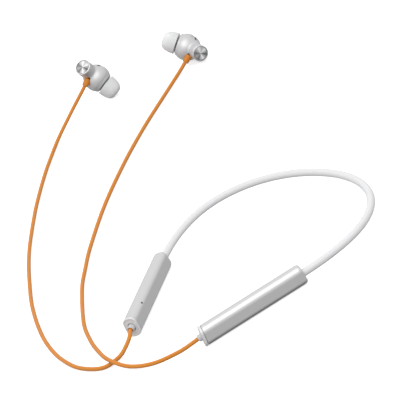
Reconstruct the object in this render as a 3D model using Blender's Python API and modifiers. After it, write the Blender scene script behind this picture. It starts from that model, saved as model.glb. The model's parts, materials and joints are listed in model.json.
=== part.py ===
"""Neckband earphones: a sprung silicone neckband between two control pods, and two earbuds on cords.

The neckband lies flat on its pods' lower edges, with +Z up and +Y towards the back of the neck.
Sizes below are in millimetres in the ring's own frame, whose zero is midway between the pods' cord
ends. The finished model is in metres, with its origin under the middle of the pods, band and earbuds.
"""
import math

import bmesh
import bpy
from mathutils import Matrix, Vector

MM = 0.001

# ---- Neckband ring, seen from above -----------------------------------------------------------
ORIGIN_SHIFT = Vector((102.71, -120.005, 0.0))  # moves the middle of the whole object to zero
POD_END_HALF_GAP = 29.1                        # from the centre line to each pod's cord end
POD_TOE_IN = 28.4                              # degrees that each pod turns in towards the throat
POD_LENGTH = 61.0
BAND_WIDEST = Vector((67.5, 85.9))             # widest point of the band's centre line
BAND_APEX_Y = 130.6                            # back of the neck
BAND_HANDLES = (13.5, 9.2, 25.7, 39.7)        # pod, widest below, widest above, apex

# ---- Pod section and walls --------------------------------------------------------------------
POD_WIDTH = 8.0
POD_HEIGHT = 10.6
POD_CORNER = 3.3
POD_WALL = 0.8
POD_MID_Z = POD_HEIGHT / 2
END_WALL = 1.2
CAP_FACE = 0.7                                 # the cord end's outer face at mid height
CAP_LENGTH = 1.4
END_SLANT = 0.132                              # how far the cord end's top is set back, per height
SEAM = 0.3                                     # gap between neighbouring pieces
BOOT_RADIUS = 1.95                             # strain relief boot round each cord at its pod
BOOT_TIP = -1.3

# ---- Band -------------------------------------------------------------------------------------
SLEEVE_RADIUS = 2.1
SLEEVE_WALL = 0.5
SLEEVE_INSET = 1.3                             # how far the sleeve runs into each pod
APEX_GAP = 0.3                                 # half of the gap between the sleeve's two halves
WIRE_RADIUS = 0.5
WIRE_DROP = -0.75
HARNESS_RADIUS = 0.45
HARNESS_RISE = 0.7
BAND_STEPS = 13                                # points on each of the half band's two arcs

# ---- Left pod controls ------------------------------------------------------------------------
BUTTON_CENTRES = {"volume_up_button": 35.5, "multifunction_button": 26.5, "volume_down_button": 17.5}
BUTTON_LENGTH = 6.6
BUTTON_HEIGHT = 2.6
BUTTON_FACE = 4.35                             # outer face, from the pod's middle plane
PORT_CENTRE = Vector((0.2, 50.5))              # across and along the pod
PORT_SIZE = (8.94, 3.2)
MIC_ALONG = 16.0
MIC_TURN = 60.0                                # degrees from straight up, over the inner top edge
LIGHT_ALONG = 11.0

# ---- Earbud, along its tip axis (Z) and its barrel axis ------------------------------------------
BARREL_ANGLE = 120.0                           # degrees from the tip axis to the barrel axis
BARREL_RADIUS = 4.9
BARREL_LENGTH = 12.2
BARREL_WALL = 0.9
DISC_RADIUS = 3.95
DISC_FACE = 12.95
RELIEF_RADIUS = 1.9
RELIEF_LEAN = 12.0                             # degrees towards the tip
RELIEF_ROOT = (2.7, 6.7)                       # along the tip axis and the barrel axis
RELIEF_SPAN = (3.6, 8.6)
VENT_TURN = 70.0                               # degrees round the bulb from the barrel
VENT_SLANT = 70.0                              # degrees from the tip axis to the slot
VENT_SIZE = (3.2, 1.05)
TURN_STEPS = 24
SMALL_STEPS = 16

# ---- Where each earbud lies: centre, tip direction, side of the tip that the barrel is on, and
# ---- which way the strain relief points from the plane of the two axes
EARBUDS = {
    "left": (Vector((-268.5, 194.35, 17.6)), Vector((0.531, 0.111, -0.840)),
             Vector((0.773, -0.469, 0.427)), 1),
    "right": (Vector((-219.2, 234.65, 6.62)), Vector((-0.647, -0.365, 0.670)),
              Vector((0.741, -0.582, 0.360)), -1),
}

# ---- Cords: a smooth curve through these points, from pod to earbud -------------------------------
CORD_RADIUS = 1.1
CORD_POINTS = 60
LEFT_ROUTE = [
    (-25.9, -4.9, 4.35), (-23.7, -10.8, 3.10), (-23.3, -17.8, 1.75), (-28.6, -26.3, 1.17),
    (-46.5, -28.7, 1.15), (-66.4, -24.8, 1.15), (-84.6, -18.2, 1.15), (-103.0, -9.2, 1.15),
    (-125.1, 4.1, 1.15), (-147.2, 19.8, 1.15), (-183.0, 49.5, 1.15), (-214.6, 81.3, 1.15),
    (-233.3, 102.4, 1.15), (-250.6, 123.9, 1.15), (-265.5, 145.4, 1.50), (-268.5, 151.9, 2.39),
    (-270.1, 158.6, 4.10), (-270.5, 165.4, 6.50), (-269.9, 171.9, 9.40), (-268.4, 178.2, 12.64),
]
RIGHT_ROUTE = [
    (26.5, -5.1, 5.00), (20.9, -11.1, 3.90), (8.2, -19.4, 2.50), (-8.0, -23.6, 2.30),
    (-25.2, -22.6, 3.75), (-41.8, -16.7, 2.60), (-60.2, -7.9, 1.35), (-79.4, 4.1, 1.15),
    (-107.8, 28.3, 1.15), (-123.1, 44.9, 1.15), (-137.4, 62.1, 1.15), (-161.6, 96.1, 1.15),
    (-182.7, 132.3, 1.15), (-198.7, 165.2, 1.15), (-210.2, 193.6, 1.15), (-212.6, 199.8, 1.16),
    (-215.0, 205.9, 1.16), (-217.3, 212.1, 1.25), (-218.9, 218.5, 1.80),
]

# ---- Finishes: base colour, roughness and metallic value ----------------------------------------
FINISHES = {
    "shell": ((0.72, 0.73, 0.75), 0.35, 0.0),
    "sleeve": ((0.83, 0.84, 0.85), 0.60, 0.0),
    "earbud_shell": ((0.70, 0.71, 0.73), 0.30, 0.0),
    "orange_rubber": ((0.85, 0.33, 0.05), 0.50, 0.0),
    "metal_disc": ((0.78, 0.78, 0.79), 0.22, 1.0),
    "tip_silicone": ((0.86, 0.87, 0.88), 0.45, 0.0),
    "inner_plastic": ((0.12, 0.12, 0.13), 0.55, 0.0),
    "circuit_board": ((0.03, 0.22, 0.10), 0.45, 0.0),
    "chip": ((0.04, 0.04, 0.045), 0.40, 0.0),
    "steel": ((0.62, 0.63, 0.65), 0.30, 1.0),
    "battery_wrap": ((0.45, 0.47, 0.50), 0.45, 0.0),
    "copper": ((0.72, 0.40, 0.20), 0.40, 1.0),
    "light_guide": ((0.92, 0.93, 0.95), 0.15, 0.0),
}


def clear_scene():
    for obj in list(bpy.data.objects):
        bpy.data.objects.remove(obj)


def new_collection(name):
    group = bpy.data.collections.new(name)
    bpy.context.scene.collection.children.link(group)
    return group


def finish(slot):
    """The material for a slot, made once."""
    found = bpy.data.materials.get(slot)
    if found:
        return found
    colour, roughness, metallic = FINISHES[slot]
    made = bpy.data.materials.new(slot)
    made.use_nodes = True
    shader = made.node_tree.nodes["Principled BSDF"]
    shader.inputs["Base Color"].default_value = (*colour, 1.0)
    shader.inputs["Roughness"].default_value = roughness
    shader.inputs["Metallic"].default_value = metallic
    made.diffuse_color = (*colour, 1.0)
    return made


def empty(name, matrix, parent=None):
    """A frame that pieces are parented to."""
    made = bpy.data.objects.new(name, None)
    GUIDES.objects.link(made)
    made.empty_display_size = 5 * MM
    made.parent = parent
    made.matrix_basis = matrix
    return made


def axes_matrix(x_axis, y_axis, z_axis, origin):
    matrix = Matrix((x_axis, y_axis, z_axis)).transposed().to_4x4()
    matrix.translation = origin * MM
    return matrix


def at(x, y, z):
    return Matrix.Translation(Vector((x, y, z)) * MM)


def put(name, mesh, frame, where=None, slot=None):
    """A named part, or with no slot a hidden cutter."""
    made = bpy.data.objects.new(name, mesh)
    made.parent = frame
    made.matrix_basis = where or Matrix()
    if slot is None:
        CUTTERS.objects.link(made)
        made.hide_render = True
        made.display_type = "WIRE"
    else:
        PARTS.objects.link(made)
        mesh.materials.append(finish(slot))
    return made


def boolean(target, tool, operation="DIFFERENCE"):
    step = target.modifiers.new(tool.name, "BOOLEAN")
    step.operation = operation
    step.object = tool
    step.solver = "EXACT"


def smooth(mesh, angle=35.0):
    mesh.shade_smooth()
    mesh.set_sharp_from_angle(angle=math.radians(angle))


# ---- Shape makers (millimetres in, metres out) --------------------------------------------------
def rounded_rect(width, height, radius, steps=5, centre=(0.0, 0.0)):
    """Outline of a rectangle with round corners, anticlockwise."""
    points = []
    for turn, (sx, sy) in enumerate(((1, 1), (-1, 1), (-1, -1), (1, -1))):
        cx = centre[0] + sx * (width / 2 - radius)
        cy = centre[1] + sy * (height / 2 - radius)
        for step in range(steps + 1):
            angle = math.radians(90 * turn + 90 * step / steps)
            points.append((cx + radius * math.cos(angle), cy + radius * math.sin(angle)))
    return points


def curve_mesh(curve):
    """A curve's surface as a closed mesh, its caps welded on."""
    guide = bpy.data.objects.new("curve_source", curve)
    PARTS.objects.link(guide)
    bpy.context.view_layer.update()
    evaluated = guide.evaluated_get(bpy.context.evaluated_depsgraph_get())
    mesh = bpy.data.meshes.new_from_object(evaluated)
    bpy.data.objects.remove(guide)
    work = bmesh.new()
    work.from_mesh(mesh)
    bmesh.ops.remove_doubles(work, verts=work.verts, dist=1e-6)
    bmesh.ops.dissolve_limit(work, angle_limit=math.radians(0.5), verts=work.verts, edges=work.edges)
    work.to_mesh(mesh)
    work.free()
    mesh.materials.clear()
    return mesh


PRISM_AXES = {
    "X": Matrix(((0, 0, 1), (1, 0, 0), (0, 1, 0))).to_4x4(),
    "Y": Matrix(((1, 0, 0), (0, 0, -1), (0, 1, 0))).to_4x4(),
    "Z": Matrix.Identity(4),
}


def prism(name, outline, low, high, axis, edges=()):
    """An outline pushed along an axis from low to high. Each of edges rounds the rim at one end:
    its place along the axis, the radius and the number of segments."""
    curve = bpy.data.curves.new(name, "CURVE")
    curve.dimensions = "2D"
    curve.fill_mode = "BOTH"
    curve.extrude = (high - low) / 2 * MM
    spline = curve.splines.new("POLY")
    spline.points.add(len(outline) - 1)
    for point, (u, v) in zip(spline.points, outline):
        point.co = (u * MM, v * MM, 0, 1)
    spline.use_cyclic_u = True
    mesh = curve_mesh(curve)
    turn = PRISM_AXES[axis]
    along = Vector(turn @ Vector((0, 0, 1)))
    along = Vector((abs(along.x), abs(along.y), abs(along.z)))
    mesh.transform(Matrix.Translation(along * (low + high) / 2 * MM) @ turn)
    for place, radius, segments in edges:
        work = bmesh.new()
        work.from_mesh(mesh)
        rim = [edge for edge in work.edges
               if all(abs(vert.co.dot(along) - place * MM) < 1e-6 for vert in edge.verts)]
        bmesh.ops.bevel(work, geom=rim, offset=radius * MM, segments=segments, profile=0.5,
                        affect="EDGES", clamp_overlap=True)
        work.to_mesh(mesh)
        work.free()
    smooth(mesh)
    return mesh


def box(name, low, high):
    """A box between two corners."""
    low, high = Vector(low), Vector(high)
    size = high - low
    mesh = bpy.data.meshes.new(name)
    work = bmesh.new()
    bmesh.ops.create_cube(work, size=MM, matrix=Matrix.Translation((low + high) / 2 * MM)
                          @ Matrix.Diagonal((*size, 1.0)))
    work.to_mesh(mesh)
    work.free()
    return mesh


def turned(name, profile, frame, where=None, slot=None, steps=TURN_STEPS, closed=False):
    """A turned piece: (radius, height) points down its outer side, spun round Z."""
    mesh = bpy.data.meshes.new(name)
    points = [(radius * MM, 0.0, height * MM) for radius, height in profile]
    links = [(k, k + 1) for k in range(len(points) - 1)]
    if closed:
        links.append((len(points) - 1, 0))
    mesh.from_pydata(points, links, [])
    made = put(name, mesh, frame, where, slot)
    spin = made.modifiers.new("turn", "SCREW")
    spin.axis = "Z"
    spin.steps = steps
    spin.render_steps = steps
    spin.use_merge_vertices = True
    spin.merge_threshold = 1e-6
    spin.use_smooth_shade = True
    return made


def rod(name, radius, low, high, frame, where=None, slot=None, steps=SMALL_STEPS, chamfer=0.0):
    profile = [(0, high), (radius - chamfer, high), (radius, high - chamfer),
               (radius, low + chamfer), (radius - chamfer, low), (0, low)]
    if not chamfer:
        profile = [(0, high), (radius, high), (radius, low), (0, low)]
    return turned(name, profile, frame, where, slot, steps)


def tube_curve(name, points, radius, resolution, caps=True):
    """A tube along a line of points in millimetres."""
    curve = bpy.data.curves.new(name, "CURVE")
    curve.dimensions = "3D"
    curve.bevel_depth = radius * MM
    curve.bevel_resolution = resolution
    curve.use_fill_caps = caps
    spline = curve.splines.new("POLY")
    spline.points.add(len(points) - 1)
    for point, place in zip(spline.points, points):
        point.co = (*(Vector(place) * MM), 1)
    return curve


# ---- Smooth lines -----------------------------------------------------------------------------
def bezier(start, handle_a, handle_b, end, steps):
    """Points on a cubic arc, without its last one."""
    line = []
    for step in range(steps):
        t = step / steps
        line.append(start * (1 - t) ** 3 + handle_a * 3 * t * (1 - t) ** 2
                    + handle_b * 3 * t * t * (1 - t) + end * t ** 3)
    return line


def half_band(side):
    """Centre line of half the band, from inside a pod to just short of the apex."""
    toe = math.radians(POD_TOE_IN)
    along = Vector((math.sin(toe), math.cos(toe)))
    root = Vector((POD_END_HALF_GAP, 0)) + along * POD_LENGTH
    apex = Vector((0, BAND_APEX_Y))
    reach_pod, reach_below, reach_above, reach_apex = BAND_HANDLES
    line = [root - along * SLEEVE_INSET]
    line += bezier(root, root + along * reach_pod, BAND_WIDEST - Vector((0, reach_below)),
                   BAND_WIDEST, BAND_STEPS)
    line += bezier(BAND_WIDEST, BAND_WIDEST + Vector((0, reach_above)),
                   apex + Vector((reach_apex, 0)), apex, BAND_STEPS)
    line.append(Vector((APEX_GAP, BAND_APEX_Y)))
    return [Vector((side * point.x, point.y, POD_MID_Z)) for point in line]


def smooth_route(stations, count):
    """Evenly spaced points on a Catmull-Rom curve through the stations."""
    ends = [stations[0] * 2 - stations[1], *stations, stations[-1] * 2 - stations[-2]]
    fine = []
    for a, b, c, d in zip(ends, ends[1:], ends[2:], ends[3:]):
        for step in range(24):
            t = step / 24
            fine.append((b * 2 + (c - a) * t + (a * 2 - b * 5 + c * 4 - d) * t * t
                         + (b * 3 - a - c * 3 + d) * t ** 3) / 2)
    fine.append(stations[-1])
    run = [0.0]
    for a, b in zip(fine, fine[1:]):
        run.append(run[-1] + (b - a).length)
    points, k = [], 0
    for step in range(count):
        goal = run[-1] * step / (count - 1)
        while k < len(run) - 2 and run[k + 1] < goal:
            k += 1
        part = (goal - run[k]) / (run[k + 1] - run[k])
        points.append(fine[k].lerp(fine[k + 1], part))
    return points


# ---- Frames -----------------------------------------------------------------------------------
def pod_frame(side, parent):
    """X across the pod, Y along it from the cord end to the band, Z up, at the cord end's middle."""
    place = at(side * POD_END_HALF_GAP, 0, POD_MID_Z)
    name = "right_pod_frame" if side > 0 else "left_pod_frame"
    return empty(name, place @ Matrix.Rotation(-side * math.radians(POD_TOE_IN), 4, "Z"), parent)


def earbud_frames(side_name, parent):
    """Frames whose Z runs along the tip, the barrel and the strain relief."""
    centre, tip, beside, relief_side = EARBUDS[side_name]
    tip = tip.normalized()
    beside = (beside - tip * beside.dot(tip)).normalized()
    lean = math.radians(BARREL_ANGLE)
    barrel = tip * math.cos(lean) + beside * math.sin(lean)
    down = tip.cross(beside) * relief_side
    tilt = math.radians(RELIEF_LEAN)
    relief = down * math.cos(tilt) + tip * math.sin(tilt)
    root = centre + tip * RELIEF_ROOT[0] + barrel * RELIEF_ROOT[1]
    along_tip, along_barrel = RELIEF_ROOT
    frames = {}
    for name, z_axis, hint, origin in (("tip_axis", tip, beside, centre),
                                       ("barrel_axis", barrel, down, centre),
                                       ("relief_axis", relief, beside, root)):
        x_axis = (hint - z_axis * hint.dot(z_axis)).normalized()
        matrix = axes_matrix(x_axis, z_axis.cross(x_axis), z_axis, origin)
        frames[name] = empty(f"{side_name}_{name}", matrix, parent)
    return frames, root, relief


# ---- Pods -------------------------------------------------------------------------------------
ALONG_POD = Matrix.Rotation(-math.pi / 2, 4, "X")
BOOT = [(0, 6.4), (2.5, 6.4), (2.5, 5.6), (BOOT_RADIUS, 5.6), (BOOT_RADIUS, 0.6),
        (1.75, BOOT_TIP + 0.2), (1.6, BOOT_TIP), (CORD_RADIUS + SEAM, BOOT_TIP),
        (CORD_RADIUS + SEAM, 1.2), (0, 1.2)]


def pod_section(shrink=0.0, steps=5):
    return rounded_rect(POD_WIDTH - 2 * shrink, POD_HEIGHT - 2 * shrink,
                        POD_CORNER - shrink, steps)


def slanted(mesh, limit):
    """Slant the part of a mesh that lies before a place along the pod, setting its top back."""
    for vert in mesh.vertices:
        if vert.co.y < limit * MM:
            vert.co.y += vert.co.z * END_SLANT
    return mesh


def pod_housing(name, frame):
    """A one-piece sleeve, open at the cord end and closed at the band end."""
    start = CAP_FACE + CAP_LENGTH + SEAM
    body = put(name, slanted(prism(name, pod_section(), start, POD_LENGTH, "Y",
                                   [(POD_LENGTH, 1.6, 3)]), 10.0), frame, slot="shell")
    cavity = put(f"cut_{name}_cavity", prism("cavity", pod_section(POD_WALL, 4), -1.0,
                                             POD_LENGTH - END_WALL, "Y"), frame)
    boolean(body, cavity)
    hole = rod(f"cut_{name}_band_hole", SLEEVE_RADIUS + 0.35, -2.0, 3.0, frame,
               at(0, POD_LENGTH, 0) @ Matrix.Rotation(math.pi / 2, 4, "X"), steps=TURN_STEPS)
    boolean(body, hole)
    return body


def pod_end_cap(name, frame):
    """The slanted cap at the cord end: a recessed face, a plug inside the housing and a bore."""
    end = CAP_FACE + CAP_LENGTH
    cap = put(name, slanted(prism(name, pod_section(), CAP_FACE, end, "Y", [(CAP_FACE, 0.4, 2)]),
                            10.0), frame, slot="shell")
    plug = put(f"join_{name}_plug", slanted(prism("plug", pod_section(POD_WALL + SEAM, 4),
               end - 0.3, 4.6, "Y"), 10.0), frame)
    recess = put(f"cut_{name}_recess", slanted(prism("recess", pod_section(0.8, 4), -2.0,
                 CAP_FACE + 0.35, "Y"), 10.0), frame)
    bore = rod(f"cut_{name}_bore", BOOT_RADIUS + SEAM, -2.0, 7.0, frame, ALONG_POD)
    boolean(cap, plug, "UNION")
    boolean(cap, recess)
    boolean(cap, bore)
    return cap


def comb(side, low, high, ribs, rib_top):
    """Outline of a tray from above: a spine along the inner wall with ribs standing out from it."""
    spine_back, spine_front = -2.9, -2.1
    points = [(spine_back, low), (spine_back, high), (spine_front, high)]
    for centre in sorted(ribs, reverse=True):
        points += [(spine_front, centre + 0.5), (rib_top, centre + 0.5),
                   (rib_top, centre - 0.5), (spine_front, centre - 0.5)]
    points.append((spine_front, low))
    return [(side * x, y) for x, y in points]


def pod_common(prefix, side, frame, ribs, rib_top):
    """What both pods hold: housing, end cap, cord boot, band anchor and tray."""
    housing = pod_housing(f"{prefix}_pod_housing", frame)
    pod_end_cap(f"{prefix}_end_cap", frame)
    turned(f"{prefix}_cord_boot", BOOT, frame, ALONG_POD, "sleeve", SMALL_STEPS)
    anchor = put(f"{prefix}_band_anchor", box("anchor", (-2.6, 56.5, -3.0), (2.6, 59.3, 3.0)), frame,
                 slot="steel")
    slot = put(f"cut_{prefix}_anchor_slot", box("slot", (-0.85, 55.0, -1.7), (0.85, 61.0, 1.6)), frame)
    boolean(anchor, slot)
    put(f"{prefix}_pod_tray", prism("tray", comb(side, 7.2, 56.0, ribs, rib_top), -2.7, 1.4, "Z"),
        frame, slot="inner_plastic")
    return housing


def stadium(length, height, centre):
    return rounded_rect(length, height, height / 2 - 0.001, 4, centre)


def make_button(name, along, side, frame):
    """A button cap with a retaining flange and a stem. Its origin is on its line of travel."""
    home = at(0, along, 0)
    low, high = sorted((side * 2.8, side * BUTTON_FACE))
    cap = put(name, prism(name, stadium(BUTTON_LENGTH, BUTTON_HEIGHT, (0, 0)), low, high, "X",
                          [(side * BUTTON_FACE, 0.25, 2)]), frame, home, "shell")
    low, high = sorted((side * 2.3, side * 2.9))
    flange = put(f"join_{name}_flange", prism("flange", stadium(8.0, 3.8, (0, 0)), low, high, "X"),
                 frame, home)
    low, high = sorted((side * 1.9, side * 2.4))
    stem = put(f"join_{name}_stem", prism("stem", rounded_rect(1.6, 1.6, 0.5, 2), low, high, "X"),
               frame, home)
    boolean(cap, flange, "UNION")
    boolean(cap, stem, "UNION")


def make_switch(name, along, side, frame):
    """A tact switch: a square body with a round plunger."""
    low, high = sorted((side * -0.2, side * 0.8))
    body = put(name, box(name, (low, along - 1.5, -1.4), (high, along + 1.5, 1.4)), frame,
               slot="inner_plastic")
    plunger = rod(f"join_{name}_plunger", 0.8, 0.5, 1.3, frame,
                  at(0, along, 0) @ Matrix.Rotation(side * math.pi / 2, 4, "Y"), steps=10)
    boolean(body, plunger, "UNION")


def span(side, low, high):
    """A pair of places across the pod, given outwards from its middle plane, in rising order."""
    return sorted((side * low, side * high))


def slab(name, side, across, along, up, frame, slot):
    """A box inside a pod, given by its spans across, along and up."""
    low, high = span(side, *across)
    return put(name, box(name, (low, along[0], up[0]), (high, along[1], up[1])), frame, slot=slot)


def left_pod(frame):
    side = -1
    housing = pod_common("left", side, frame, ribs=(9.0, 42.0), rib_top=-1.6)
    for name, along in BUTTON_CENTRES.items():
        low, high = span(side, 2.6, 5.0)
        window = put(f"cut_{name}_window", prism("window", stadium(BUTTON_LENGTH + 0.6,
                     BUTTON_HEIGHT + 0.6, (along, 0)), low, high, "X"), frame)
        boolean(housing, window)
        make_button(name, along, side, frame)
        make_switch(name.replace("button", "switch"), along, side, frame)

    port_x = side * PORT_CENTRE.x
    length, height = PORT_SIZE
    mouth = put("cut_port_mouth", prism("mouth", rounded_rect(height + 0.6, length + 0.6,
                height / 2 + 0.29, 4, (port_x, PORT_CENTRE.y)), -6.0, -4.0, "Z"), frame)
    boolean(housing, mouth)
    shell = put("usb_c_shell", prism("usb_c_shell", rounded_rect(height, length, height / 2 - 0.01, 4,
                (port_x, PORT_CENTRE.y)), -4.9, 1.9, "Z"), frame, slot="steel")
    room = put("cut_port_room", prism("room", rounded_rect(height - 0.6, length - 0.6,
               height / 2 - 0.31, 4, (port_x, PORT_CENTRE.y)), -6.0, 1.4, "Z"), frame)
    boolean(shell, room)
    slab("usb_c_tongue", side, (-0.15, 0.55), (PORT_CENTRE.y - 3.3, PORT_CENTRE.y + 3.3),
         (-4.2, 1.1), frame, "inner_plastic")

    corner = at(side * -0.7, MIC_ALONG, 2.0) @ Matrix.Rotation(math.radians(MIC_TURN), 4, "Y")
    boolean(housing, rod("cut_mic_hole", 0.45, 1.9, 4.0, frame, corner, steps=10))
    rod("microphone_mesh", 0.75, 2.0, 2.15, frame, corner, "steel", steps=10)
    rod("microphone", 0.85, 0.9, 1.7, frame, corner, "steel", steps=12)

    sideways = at(0, LIGHT_ALONG, 0) @ Matrix.Rotation(side * math.pi / 2, 4, "Y")
    boolean(housing, rod("cut_light_hole", 0.8, 2.0, 6.0, frame, sideways, steps=12))
    rod("light_guide", 0.5, -0.1, 3.9, frame, sideways, "light_guide", steps=10)

    slab("main_board", side, (-1.3, -0.5), (7.5, 44.5), (-3.8, 1.5), frame, "circuit_board")
    slab("wireless_module", side, (-0.2, 1.2), (19.4, 24.6), (-3.4, 1.3), frame, "steel")
    slab("power_chip", side, (-0.2, 0.8), (29.2, 32.8), (-2.4, 1.1), frame, "chip")
    slab("antenna", side, (-0.2, 0.8), (8.5, 13.5), (-3.5, -2.2), frame, "chip")


def right_pod(frame):
    side = 1
    pod_common("right", side, frame, ribs=(7.6,), rib_top=-0.5)
    put("battery_cell", prism("battery_cell", rounded_rect(4.4, 7.2, 1.0, 3, (side * 0.4, 0)),
                              8.5, 52.0, "Y", [(8.5, 0.4, 1), (52.0, 0.4, 1)]), frame,
        slot="battery_wrap")
    slab("protection_board", side, (-1.8, -1.0), (52.6, 56.0), (-2.4, 2.4), frame, "circuit_board")


# ---- Band -------------------------------------------------------------------------------------
def sleeve_half(name, side, frame):
    """Half of the silicone sleeve: an open tube thickened inwards."""
    mesh = curve_mesh(tube_curve(name, half_band(side), SLEEVE_RADIUS, 3, caps=False))
    smooth(mesh)
    made = put(name, mesh, frame, slot="sleeve")
    wall = made.modifiers.new("wall", "SOLIDIFY")
    wall.thickness = SLEEVE_WALL * MM
    wall.offset = -1.0
    wall.use_even_offset = True
    return made


def band_core(name, radius, rise, slot, frame):
    """A wire inside the sleeve, from one pod's anchor to the other's."""
    toe = math.radians(POD_TOE_IN)
    inward = Vector((math.sin(toe), math.cos(toe), 0)) * 3.0
    right = half_band(1)
    left = half_band(-1)
    tail_right = right[0] - inward
    tail_left = left[0] - Vector((-inward.x, inward.y, 0))
    line = [tail_left, *left[:-1], *reversed(right[:-1]), tail_right]
    line = [point + Vector((0, 0, rise)) for point in line]
    curve = tube_curve(name, line, radius, 1)
    return put(name, curve, frame, slot=slot)


# ---- Earbuds ----------------------------------------------------------------------------------
BULB = [(0, 7.85), (6.98, 7.85), (7.5, 7.0), (8.15, 4.5), (8.1, 2.0), (7.5, -0.6), (6.0, -3.2),
        (3.5, -5.1), (0, -5.9)]
BULB_ROOM = [(0, 9.0), (6.1, 9.0), (6.1, 7.85), (6.6, 7.0), (7.2, 4.5), (7.15, 2.0), (6.6, -0.4),
             (5.2, -2.6), (2.9, -4.2), (0, -4.9)]
FRONT = [(1.7, 14.6), (2.6, 14.6), (2.9, 14.3), (2.9, 13.5), (2.5, 13.1), (2.5, 9.8), (5.6, 9.6),
         (6.4, 9.0), (6.85, 8.15), (6.0, 8.15), (5.6, 8.8), (1.7, 9.0)]
TIP = [(2.0, 18.6), (2.7, 18.8), (3.8, 18.5), (5.0, 17.5), (5.9, 15.6), (6.4, 13.2), (6.6, 10.8),
       (6.1, 10.8), (5.8, 13.2), (5.2, 15.2), (4.2, 16.2), (3.8, 15.4), (3.8, 10.3), (3.2, 10.3),
       (3.2, 15.2), (2.0, 16.4)]
DRIVER = [(0, 5.4), (4.6, 5.4), (4.8, 7.3), (5.85, 7.3), (5.85, 5.6), (4.6, 4.2), (4.4, 2.8), (0, 2.8)]
DIAPHRAGM = [(0, 7.0), (1.6, 6.8), (3.0, 6.25), (4.2, 6.6), (4.2, 6.35), (3.0, 5.95), (1.6, 6.5),
             (0, 6.7)]
TRIM_RING = [(4.25, 13.1), (4.75, 13.1), (4.9, 12.95), (4.9, 12.5), (4.25, 12.5)]
DISC = [(0, DISC_FACE), (3.8, DISC_FACE), (DISC_RADIUS, 12.8), (DISC_RADIUS, 12.3), (3.5, 12.3),
        (3.5, 11.9), (0, 11.9)]


def make_earbud(side_name, frame):
    frames, root, relief = earbud_frames(side_name, frame)
    tip_axis, barrel_axis, relief_axis = (frames[key] for key in
                                          ("tip_axis", "barrel_axis", "relief_axis"))
    relief_side = EARBUDS[side_name][3]

    housing = turned(f"{side_name}_rear_housing", BULB, tip_axis, slot="earbud_shell")
    tools = [
        (rod(f"join_{side_name}_barrel", BARREL_RADIUS, 0.0, BARREL_LENGTH, barrel_axis,
             steps=TURN_STEPS), "UNION"),
        (turned(f"cut_{side_name}_bulb_room", BULB_ROOM, tip_axis), "DIFFERENCE"),
        (rod(f"cut_{side_name}_barrel_room", BARREL_RADIUS - BARREL_WALL, 1.0, 14.0, barrel_axis,
             steps=TURN_STEPS), "DIFFERENCE"),
        (rod(f"cut_{side_name}_relief_hole", RELIEF_RADIUS + SEAM, 2.0, 12.0, relief_axis),
         "DIFFERENCE"),
    ]
    vent_turn = Matrix.Rotation(math.radians(-relief_side * VENT_TURN), 4, "Z")
    vent_place = vent_turn @ Matrix.Rotation(math.pi / 2, 4, "Y")
    vent_place = vent_place @ Matrix.Rotation(math.radians(relief_side * VENT_SLANT), 4, "Z")
    slot = put(f"cut_{side_name}_vent", prism("vent", stadium(*VENT_SIZE, (0, 0)), 4.5, 10.0, "Z"),
               tip_axis, vent_place)
    tools.append((slot, "DIFFERENCE"))
    for tool, operation in tools:
        boolean(housing, tool, operation)
    rod(f"{side_name}_vent_mesh", 1.7, 5.4, 5.6, tip_axis, vent_place, "steel", steps=10)

    turned(f"{side_name}_front_housing", FRONT, tip_axis, slot="earbud_shell", closed=True)
    rod(f"{side_name}_nozzle_mesh", 1.4, 14.0, 14.2, tip_axis, slot="steel", steps=12)
    turned(f"{side_name}_ear_tip", TIP, tip_axis, slot="tip_silicone", closed=True)
    turned(f"{side_name}_driver", DRIVER, tip_axis, slot="steel")
    turned(f"{side_name}_diaphragm", DIAPHRAGM, tip_axis, slot="light_guide")
    rod(f"{side_name}_clasp_magnet", 3.2, 9.4, 11.6, barrel_axis, slot="steel", chamfer=0.2)
    turned(f"{side_name}_trim_ring", TRIM_RING, barrel_axis, slot="metal_disc", closed=True)
    turned(f"{side_name}_disc_cap", DISC, barrel_axis, slot="metal_disc")
    rod(f"{side_name}_strain_relief", RELIEF_RADIUS, *RELIEF_SPAN, relief_axis, slot="orange_rubber",
        chamfer=0.3)
    mouth = root + relief * (RELIEF_SPAN[1] + SEAM)
    return mouth


# ---- Cords ------------------------------------------------------------------------------------
def make_cord(name, side, route, mouth, frame):
    """A free cord from inside a pod's boot to an earbud's strain relief."""
    toe = math.radians(POD_TOE_IN)
    pod_line = []
    for along in (0.9, BOOT_TIP - 0.3):
        pod_line.append(Vector((side * (POD_END_HALF_GAP + along * math.sin(toe)),
                                along * math.cos(toe), POD_MID_Z)))
    stations = [*pod_line, *(Vector(point) for point in route), mouth]
    curve = tube_curve(name, smooth_route(stations, CORD_POINTS), CORD_RADIUS, 2)
    return put(name, curve, frame, slot="orange_rubber")


def build():
    ring = empty("ring_frame", Matrix.Translation(ORIGIN_SHIFT * MM))
    flex = empty("band_flex_axis", at(0, BAND_APEX_Y, POD_MID_Z), ring)
    right_side = empty("right_side_frame", at(0, -BAND_APEX_Y, -POD_MID_Z), flex)
    left_pod(pod_frame(-1, ring))
    right_pod(pod_frame(1, right_side))
    sleeve_half("band_sleeve_left", -1, ring)
    sleeve_half("band_sleeve_right", 1, right_side)
    band_core("memory_wire", WIRE_RADIUS, WIRE_DROP, "steel", ring)
    band_core("band_harness", HARNESS_RADIUS, HARNESS_RISE, "copper", ring)
    left_end = make_earbud("left", ring)
    right_end = make_earbud("right", ring)
    make_cord("left_cord", -1, LEFT_ROUTE, left_end, ring)
    make_cord("right_cord", 1, RIGHT_ROUTE, right_end, ring)


clear_scene()
PARTS = new_collection("neckband_earphones")
CUTTERS = new_collection("cutters")
GUIDES = new_collection("frames")
build()
bpy.context.view_layer.update()
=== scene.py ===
"""Neckband earphones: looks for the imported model. Lengths are in millimetres until a mesh is made."""
import json
import math

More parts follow.
